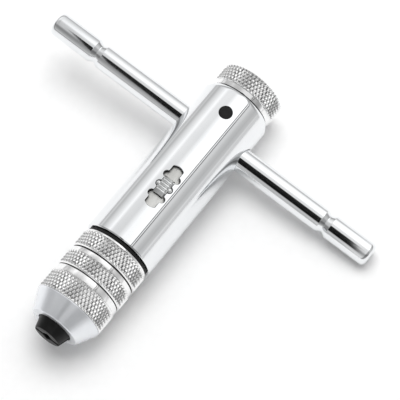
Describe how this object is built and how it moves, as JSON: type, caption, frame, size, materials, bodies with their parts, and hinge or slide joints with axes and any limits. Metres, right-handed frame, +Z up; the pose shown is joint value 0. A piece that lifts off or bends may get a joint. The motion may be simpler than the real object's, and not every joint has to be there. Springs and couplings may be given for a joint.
{
  "type": "tap wrench",
  "caption": "Ratcheting tap wrench: a chromed body with a sliding cross bar, a sliding ratchet switch, a knurled end knob and a knurled two-jaw chuck that grips a tap's square shank.",
  "frame": {"origin": "on the floor, under the middle of the tool's bounding box", "axes": "+Y along the tool towards the knob, -Y towards the jaws; X along the cross bar, whose +X end rests on the floor; +Z up from the floor, on the side of the switch"},
  "size_m": [0.0986, 0.0844, 0.0198],
  "materials": {
    "polished_chrome": "mirror-polished chrome plate",
    "bar_chrome": "bright chrome plate on a ground bar",
    "knurled_chrome": "chrome plate over a diamond knurl",
    "button_chrome": "bright plated pressing",
    "satin_chrome": "satin chrome plate",
    "satin_steel": "matt pressed steel",
    "plain_steel": "turned steel, lightly oiled",
    "black_oxide": "black oxide",
    "seal_rubber": "black rubber",
    "bronze": "sintered bronze"
  },
  "bodies": {
    "housing": {"body_tube": "polished_chrome", "bar_block": "plain_steel", "block_pin": "black_oxide", "knurled_knob": "knurled_chrome", "bar_detent_ball": "plain_steel", "bar_detent_spring": "plain_steel", "spindle_bush": "bronze", "seal_ring": "seal_rubber"},
    "bar": {"cross_bar": "bar_chrome"},
    "switch": {"switch_button": "button_chrome", "switch_carrier": "satin_steel", "switch_detent_clip": "button_chrome", "pawl_spring_front": "plain_steel", "pawl_spring_rear": "plain_steel"},
    "pawl": {"pawl": "plain_steel"},
    "chuck": {"spindle": "plain_steel", "lower_ratchet_wheel": "plain_steel", "upper_ratchet_wheel": "plain_steel", "wheel_key": "plain_steel", "wheel_spacer": "plain_steel", "top_retaining_ring": "plain_steel", "lower_retaining_ring": "plain_steel", "thrust_washer": "bronze", "chuck_collar": "knurled_chrome"},
    "stop_ring": {"sleeve_stop_ring": "plain_steel"},
    "nose": {"nose_sleeve": "satin_chrome"},
    "upper_jaw": {"jaw_upper": "black_oxide"},
    "lower_jaw": {"jaw_lower": "black_oxide", "jaw_guide_pin_left": "plain_steel", "jaw_guide_pin_right": "plain_steel", "jaw_spring_left": "plain_steel", "jaw_spring_right": "plain_steel"}
  },
  "joints": [
    {"name": "bar_slide", "type": "slide", "parent": "housing", "child": "bar", "axis": [0.9912, 0, -0.1326], "range_m": [-0.0358, 0.0358]},
    {"name": "switch_slide", "type": "slide", "parent": "housing", "child": "switch", "axis": [0, 1, 0], "range_m": [-0.0031, 0.0031], "deforming": ["switch_detent_clip"]},
    {"name": "pawl_lift", "type": "slide", "parent": "switch", "child": "pawl", "axis": [0.1326, 0, 0.9912], "range_m": [0, 0.0009], "stiffness_N_per_m": 200, "springref_m": -0.002, "deforming": ["pawl_spring_front", "pawl_spring_rear"]},
    {"name": "chuck_spin", "type": "hinge", "parent": "housing", "child": "chuck", "pos_m": [0, 0, 0.00957], "axis": [0, 1, 0], "continuous": true},
    {"name": "sleeve_advance", "type": "slide", "parent": "chuck", "child": "stop_ring", "axis": [0, -1, 0], "range_m": [0, 0.003]},
    {"name": "sleeve_turn", "type": "hinge", "parent": "stop_ring", "child": "nose", "pos_m": [0, 0, 0.00957], "axis": [0, -1, 0], "range_deg": [0, 1081]},
    {"name": "upper_jaw_slide", "type": "slide", "parent": "chuck", "child": "upper_jaw", "axis": [0.1326, 0, 0.9912], "range_m": [0, 0.00093], "deforming": ["jaw_spring_left", "jaw_spring_right"]},
    {"name": "lower_jaw_slide", "type": "slide", "parent": "chuck", "child": "lower_jaw", "axis": [-0.1326, 0, -0.9912], "range_m": [0, 0.00093]}
  ],
  "couplings": [
    {"joint": "sleeve_turn", "follows": "sleeve_advance", "rad_per_m": 6283.2},
    {"joint": "upper_jaw_slide", "follows": "sleeve_advance", "ratio": 0.30573},
    {"joint": "lower_jaw_slide", "follows": "sleeve_advance", "ratio": 0.30573}
  ]
}
